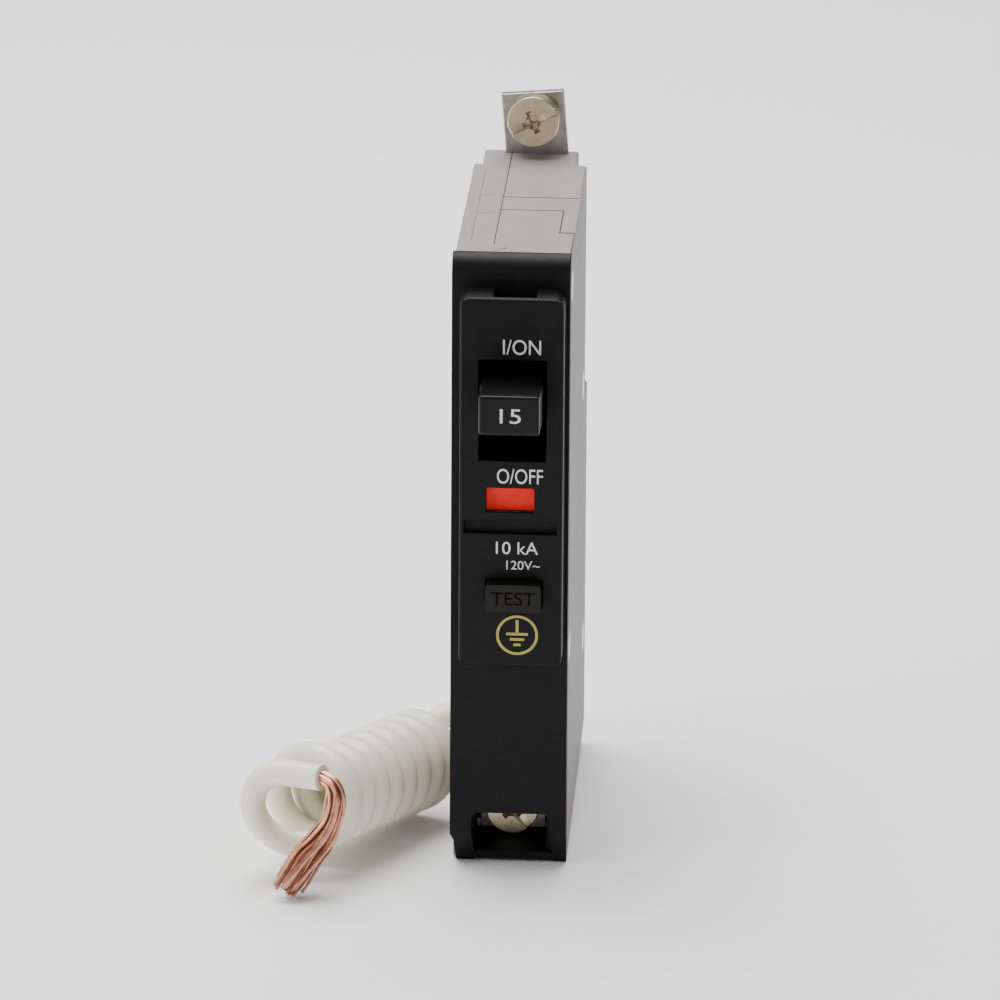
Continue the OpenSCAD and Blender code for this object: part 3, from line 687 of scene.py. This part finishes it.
class BREAKER_OT_case(bpy.types.Operator):
    """Round the grey case halves, the insert, the divider and the rivets"""

    bl_idname = "breaker.case"
    bl_label = "Case"

    # Painted shade over the gaps of the top face, from above, by two opposite corners. The strips over
    # the crosswise ones are wider than the gaps, so that they show as dark lines of painted shade
    SEAM_SHADE_STRIPS = (((-3.28, 7.2), (-3.12, 59.1)), ((-3.2, 32.65), (9, 33.05)),
             ((-3.2, 25.6), (7, 26)), ((6.92, 13.7), (7.08, 25.8)), ((6.92, 13.55), (9, 13.95)))
    COVER_LINE_SHADE_STRIPS = (((-7.06, 9), (-6.94, 48.4)), ((-6.9, 23.78), (-4.2, 24.02)),
                   ((-6.9, 33.78), (-4.9, 34.02)))
    # The strips stand a hair above the top face
    STRIP_TOP, STRIP_DEPTH = 104.11, 0.3
    # The rivets' places from the side, the room kept round them, and where the sides begin
    RIVETS, RIVET_ROOM, SIDE = ((6.5, 97.5), (6.5, 36), (46, 67.6), (52, 21)), 3.6, 7.5

    def execute(self, context):
        sizes = context.scene.breaker_sizes
        soften("base_shell", sizes.case_round, pick=self.on_outline)
        soften("cover_shell", sizes.case_round, pick=self.on_outline)
        soften("line_end_insert", sizes.case_round / 3)
        soften("case_rivets", sizes.metal_round)
        soften("divider", sizes.metal_round)
        # Dark strips of painted shade in the top face's gaps
        self.paint_gap_shade()
        return {"FINISHED"}

    def paint_gap_shade(self):
        """Dark strips in and over the narrow gaps of the top face: painted shade, standing in for the
        shadow inside the gaps.
        """
        for name, strips, slot in (("seam_painted_shade", self.SEAM_SHADE_STRIPS, "inner_plastic"),
                                   ("cover_line_painted_shade", self.COVER_LINE_SHADE_STRIPS, "dull_plastic")):
            bm = bmesh.new()
            for (x0, y0), (x1, y1) in strips:
                bar = bmesh.ops.create_cube(bm, size=1.0)["verts"]
                size = Vector((x1 - x0, y1 - y0, self.STRIP_DEPTH)) * MM
                bmesh.ops.scale(bm, vec=size, verts=bar)
                middle = case_point((x0 + x1) / 2, (y0 + y1) / 2,
                                    self.STRIP_TOP - self.STRIP_DEPTH / 2)
                bmesh.ops.translate(bm, vec=middle, verts=bar)
            add_piece(name, bm, "case", "grey_case", material=finish(slot), smooth=0)

    def on_outline(self, spot):
        """Whether an edge lies on a side's outline, away from the rivets."""
        return abs(spot.x) > self.SIDE and all(
            math.hypot(spot.y - y, spot.z - z) > self.RIVET_ROOM for y, z in self.RIVETS)


class BREAKER_OT_front(bpy.types.Operator):
    """Round the black front cap and fit the indicator window and the printed marks"""

    bl_idname = "breaker.front"
    bl_label = "Front cap"

    # The cap's edges are rounded in front of this depth and above the legs
    CAP_BACK, LEG_TOP = 2.6, 6.5
    # The raised panel's middle, the half width and the heights beyond which its outline lies
    PANEL_X, PANEL_HALF, PANEL_LOW, PANEL_HIGH = 0.45, 8.2, 36.6, 98.5
    # Each printed mark's name, words, and reach across and up
    MARKS = (("mark_on", "I/ON", (-0.96, 5.14), (89.4, 91.9)),
             ("mark_off", "O/OFF", (-1.8, 5.6), (67.6, 70.1)),
             ("mark_rating", "10 kA", (-1.9, 4.9), (55.6, 57.7)),
             ("mark_volts", "120V~", (-0.2, 5.2), (53.0, 54.5)))
    SYMBOL_X, SYMBOL_Z, SYMBOL_RADIUS = 1.6, 41.8, 0.0034
    # The sign's stem and bars as shares of its radius: height, half width, half thickness
    SYMBOL_BARS = ((0.42, 0.07, 0.34), (0.05, 0.52, 0.065), (-0.22, 0.34, 0.065),
                   (-0.49, 0.17, 0.065))
    INK_LIFT = 0.00006

    def execute(self, context):
        sizes = context.scene.breaker_sizes
        cap = round_edges(merged("front_cap"), sizes.panel_round, 4, self.on_panel_outline)
        round_edges(cap, sizes.cap_round, 2,
                    lambda spot: spot.y < self.CAP_BACK and spot.z > self.LEG_TOP)
        add_piece("front_cap_shape", cap, "case", slot_of("front_cap"), ["front_cap"])
        soften("indicator_lens", 0.0001)
        soften("trip_flag", 0.0002, "cradle")
        self.marks()
        return {"FINISHED"}

    def on_panel_outline(self, spot):
        """Whether an edge lies on the raised panel's outline, at its front."""
        beyond = (abs(spot.x - self.PANEL_X) > self.PANEL_HALF
                  or spot.z > self.PANEL_HIGH or spot.z < self.PANEL_LOW)
        return beyond and abs(spot.y - case_place(CAP_LOW).y) < 0.02

    def marks(self):
        ink = finish("pale_ink")
        face = (ESCUTCHEON_Y - CASE.y) / MM
        for name, words, x, z in self.MARKS:
            low, high = case_point(x[0], face, z[0]), case_point(x[1], face, z[1])
            lettering(name, words, low, high, "case", ink)
        self.earth_symbol(case_point(self.SYMBOL_X, face, self.SYMBOL_Z), self.SYMBOL_RADIUS)

    def earth_symbol(self, centre, radius):
        """A protective-earth sign: a ring round a stem and three bars."""
        bm = bmesh.new()
        thick, lift = radius * 0.13, self.INK_LIFT
        rim = []
        for size in (radius, radius - thick):
            ring = bmesh.ops.create_circle(bm, cap_ends=False, segments=64, radius=size)["verts"]
            rim += {e for v in ring for e in v.link_edges}
        faces = bmesh.ops.bridge_loops(bm, edges=rim)["faces"]
        bmesh.ops.solidify(bm, geom=faces, thickness=lift)
        for y, half_wide, half_tall in self.SYMBOL_BARS:
            bar = bmesh.ops.create_cube(bm, size=2.0)["verts"]
            size = (half_wide * radius, half_tall * radius, lift / 2)
            bmesh.ops.scale(bm, vec=size, verts=bar)
            bmesh.ops.translate(bm, vec=(0, y * radius, 0), verts=bar)
        stand = Matrix.Translation(centre) @ Matrix.Rotation(math.pi / 2, 4, "X")
        bmesh.ops.transform(bm, matrix=stand, verts=bm.verts)
        farthest = max(v.co.y for v in bm.verts)
        bmesh.ops.translate(bm, vec=(0, centre.y - farthest, 0), verts=bm.verts)
        bmesh.ops.recalc_face_normals(bm, faces=bm.faces)
        add_piece("earth_symbol", bm, "case", "black_cap", material=finish("gold_ink"), smooth=0)


class BREAKER_OT_handle(bpy.types.Operator):
    """Shape the handle with its rating"""

    bl_idname = "breaker.handle"
    bl_label = "Handle"

    # The pin's centre from the side, and the room round it where edges stay sharp
    PIN, PIN_ROOM = (7, 79.9), 3
    RATING_X, RATING_Z = (-0.74, 2.6), (81.6, 84.0)

    def execute(self, context):
        soften("handle", 0.0005, "handle", 3, self.off_pin)
        soften("handle_pin", 0.0001)
        low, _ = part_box("handle")
        face = (low.y - CASE.y) / MM
        low, high = (case_point(x, face, z) for x, z in zip(self.RATING_X, self.RATING_Z))
        lettering("mark_current", "15", low, high, "handle", finish("pale_ink"),
                  slot="black_handle")
        return {"FINISHED"}

    def off_pin(self, spot):
        """Whether an edge is clear of the pin's hole."""
        return (Vector((spot.y, spot.z)) - Vector(self.PIN)).length > self.PIN_ROOM


class BREAKER_OT_test_button(bpy.types.Operator):
    """Shape the test button with its raised letters"""

    bl_idname = "breaker.test_button"
    bl_label = "Test button"

    LETTERS_X, LETTERS_Z, LETTERS_LIFT = (-2.5, 4.6), (47.8, 50.0), 0.00008

    def execute(self, context):
        soften("test_button", 0.0005, "test_button", 3)
        soften("test_leaf", 0.00008)
        low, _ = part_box("test_button")
        face = (low.y - CASE.y) / MM
        low, high = (case_point(x, face, z) for x, z in zip(self.LETTERS_X, self.LETTERS_Z))
        lettering("mark_test", "TEST", low, high, "test_button", finish("black_ink"),
                  self.LETTERS_LIFT, "button_plastic")
        return {"FINISHED"}


class BREAKER_OT_terminals(bpy.types.Operator):
    """Finish the bolt-on tab, the terminal plates and all the screws"""

    bl_idname = "breaker.terminals"
    bl_label = "Terminals"

    # The strap is rounded only above the case, and a screw only within this of its head's rim
    STRAP_FROM, RIM = 104.4, 0.2

    def execute(self, context):
        edge = context.scene.breaker_sizes.metal_round
        for node, body in (("line_washer", "line_washer"), ("load_strap", "case"),
                           ("load_clamp", "load_clamp"), ("neutral_strap", "case"),
                           ("neutral_clamp", "neutral_clamp")):
            soften(node, edge, body)
        soften("line_strap", edge * 1.5, pick=lambda spot: spot.z > self.STRAP_FROM)
        for node in ("line_screw", "load_screw", "neutral_screw"):
            self.screw(node, edge)
        return {"FINISHED"}

    def screw(self, node, edge):
        """A screw with its head's rim rounded. Its recesses and plain shank stay as they are."""
        low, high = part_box(node)
        long_way = max(range(3), key=lambda i: (high - low)[i])
        sides = [i for i in range(3) if i != long_way]
        middle = (low + high) / 2
        head = min((high - low)[i] for i in sides) / 2

        def from_axis(spot):
            return math.hypot(*(spot[i] - case_place(middle)[i] for i in sides))

        bm = round_edges(merged(node), edge * 1.4, 2,
                         lambda spot: from_axis(spot) > head / MM - self.RIM)
        add_piece(f"{node}_shape", bm, node, slot_of(node), [node])


class BREAKER_OT_mechanism(bpy.types.Operator):
    """Finish the contacts, the trip unit and their springs"""

    bl_idname = "breaker.mechanism"
    bl_label = "Mechanism"

    # Each spring's node, axis, wire radius and turns
    SPRINGS = (("toggle_spring", (0, 0, 1), 0.0002, 14), ("armature_spring", (0, 1, 0), 0.00012, 8))
    BRAID = ((1.6, 24.5, 78.6), (1.6, 26, 74), (1.6, 29.6, 70), (1.6, 34, 67.4), (1.6, 38, 65),
             (1.6, 40.5, 61))
    # The braid's bundles: how many, their twist from point to point, ring radius and own radius
    BUNDLES, BUNDLE_TWIST, BUNDLE_RING, BUNDLE_RADIUS = 7, 0.35, 0.00066, 0.00032

    def execute(self, context):
        edge = context.scene.breaker_sizes.metal_round
        for node, body in (("contact_arm", "contact_arm"), ("moving_contact", "contact_arm"),
                           ("fixed_contact", "case"), ("arm_pin", "case"), ("arc_plates", "case"),
                           ("arc_chute_sides", "case"), ("cradle", "cradle"), ("cradle_pin", "case"),
                           ("bimetal", "case"), ("magnetic_yoke", "case"), ("armature", "armature"),
                           ("armature_pin", "case")):
            soften(node, edge / 2, body)
        for node, axis, wire, turns in self.SPRINGS:
            low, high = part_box(node)
            length = (high - low).dot(Vector(axis))
            start = (low + high) / 2 - Vector(axis) * length / 2
            radius = min(high - low) / 2
            spring(f"{node}_coil", start, axis, length, radius, wire, turns, "case", "steel",
                   [node])
        self.braid()
        return {"FINISHED"}

    def braid(self):
        """The braid as a twist of fine copper bundles."""
        path = smooth_path([case_point(*p) for p in self.BRAID], 6)
        lines = []
        for k in range(self.BUNDLES):
            line = []
            for i, spot in enumerate(path):
                angle = 2 * math.pi * k / self.BUNDLES + i * self.BUNDLE_TWIST
                ahead = path[min(i + 1, len(path) - 1)] - path[max(i - 1, 0)]
                across = Vector((1, 0, 0))
                other = ahead.cross(across).normalized()
                out = across * math.cos(angle) + other * math.sin(angle)
                line.append(spot + out * self.BUNDLE_RING)
            lines.append(line)
        mesh = as_mesh(line_curve("braid_lines", lines, self.BUNDLE_RADIUS, 1))
        add_piece("braid_twist", mesh, "case", "copper", ["braid"])


class BREAKER_OT_electronics(bpy.types.Operator):
    """Finish the circuit board, the sensor core and the solenoid"""

    bl_idname = "breaker.electronics"
    bl_label = "Electronics"

    def execute(self, context):
        for node in ("circuit_board", "board_parts", "solenoid_frame"):
            soften(node, 0.00012)
        soften("sensor_core", 0.0006, segments=3)
        soften("plunger", 0.00012, "plunger")
        self.winding()
        low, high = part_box("plunger_spring")
        start = Vector(((low.x + high.x) / 2, low.y, (low.z + high.z) / 2))
        spring("plunger_spring_coil", start, (0, 1, 0), high.y - low.y, (high.x - low.x) / 2,
               0.00025, 4, "case", "steel", ["plunger_spring"])
        return {"FINISHED"}

    def winding(self):
        """Enamelled wire wound on the solenoid, as one close helix."""
        low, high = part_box("solenoid_coil")
        start = Vector(((low.x + high.x) / 2, low.y, (low.z + high.z) / 2))
        radius = (high.x - low.x) / 2
        spring("solenoid_winding", start, (0, 1, 0), high.y - low.y, radius, 0.00028, 26, "case",
               "enamel_wire", ["solenoid_coil"])
        bm = bmesh.new()
        inner = radius - 0.0005
        bmesh.ops.create_cone(bm, cap_ends=True, segments=40, radius1=inner, radius2=inner,
                              depth=high.y - low.y)
        stand = Matrix.Translation((low + high) / 2) @ Matrix.Rotation(math.pi / 2, 4, "X")
        bmesh.ops.transform(bm, matrix=stand, verts=bm.verts)
        add_piece("solenoid_bobbin", bm, "case", "enamel_wire", material=finish("inner_plastic"))


class BREAKER_PT_panel(bpy.types.Panel):
    bl_label = "Breaker"
    bl_space_type = "VIEW_3D"
    bl_region_type = "UI"
    bl_category = "Breaker"

    def draw(self, context):
        for group in (context.scene.breaker_sizes, context.scene.breaker_colours):
            for key in group.__annotations__:
                self.layout.prop(group, key)
        for step in STEPS:
            self.layout.operator(step.bl_idname)


STEPS = (BREAKER_OT_stage, BREAKER_OT_pigtail, BREAKER_OT_case, BREAKER_OT_front, BREAKER_OT_handle,
         BREAKER_OT_test_button, BREAKER_OT_terminals, BREAKER_OT_mechanism, BREAKER_OT_electronics)
CLASSES = (BreakerSizes, BreakerColours, *STEPS, BREAKER_PT_panel)


def register():
    for cls in CLASSES:
        bpy.utils.register_class(cls)
    bpy.types.Scene.breaker_sizes = bpy.props.PointerProperty(type=BreakerSizes)
    bpy.types.Scene.breaker_colours = bpy.props.PointerProperty(type=BreakerColours)


def unregister():
    del bpy.types.Scene.breaker_colours
    del bpy.types.Scene.breaker_sizes
    for cls in reversed(CLASSES):
        bpy.utils.unregister_class(cls)


def main():
    register()
    make_finishes(bpy.context.scene.breaker_colours)
    bpy.ops.breaker.stage()
    bpy.ops.breaker.pigtail()
    bpy.ops.breaker.case()
    bpy.ops.breaker.front()
    bpy.ops.breaker.handle()
    bpy.ops.breaker.test_button()
    bpy.ops.breaker.terminals()
    bpy.ops.breaker.mechanism()
    bpy.ops.breaker.electronics()


if __name__ == "__main__":
    main()
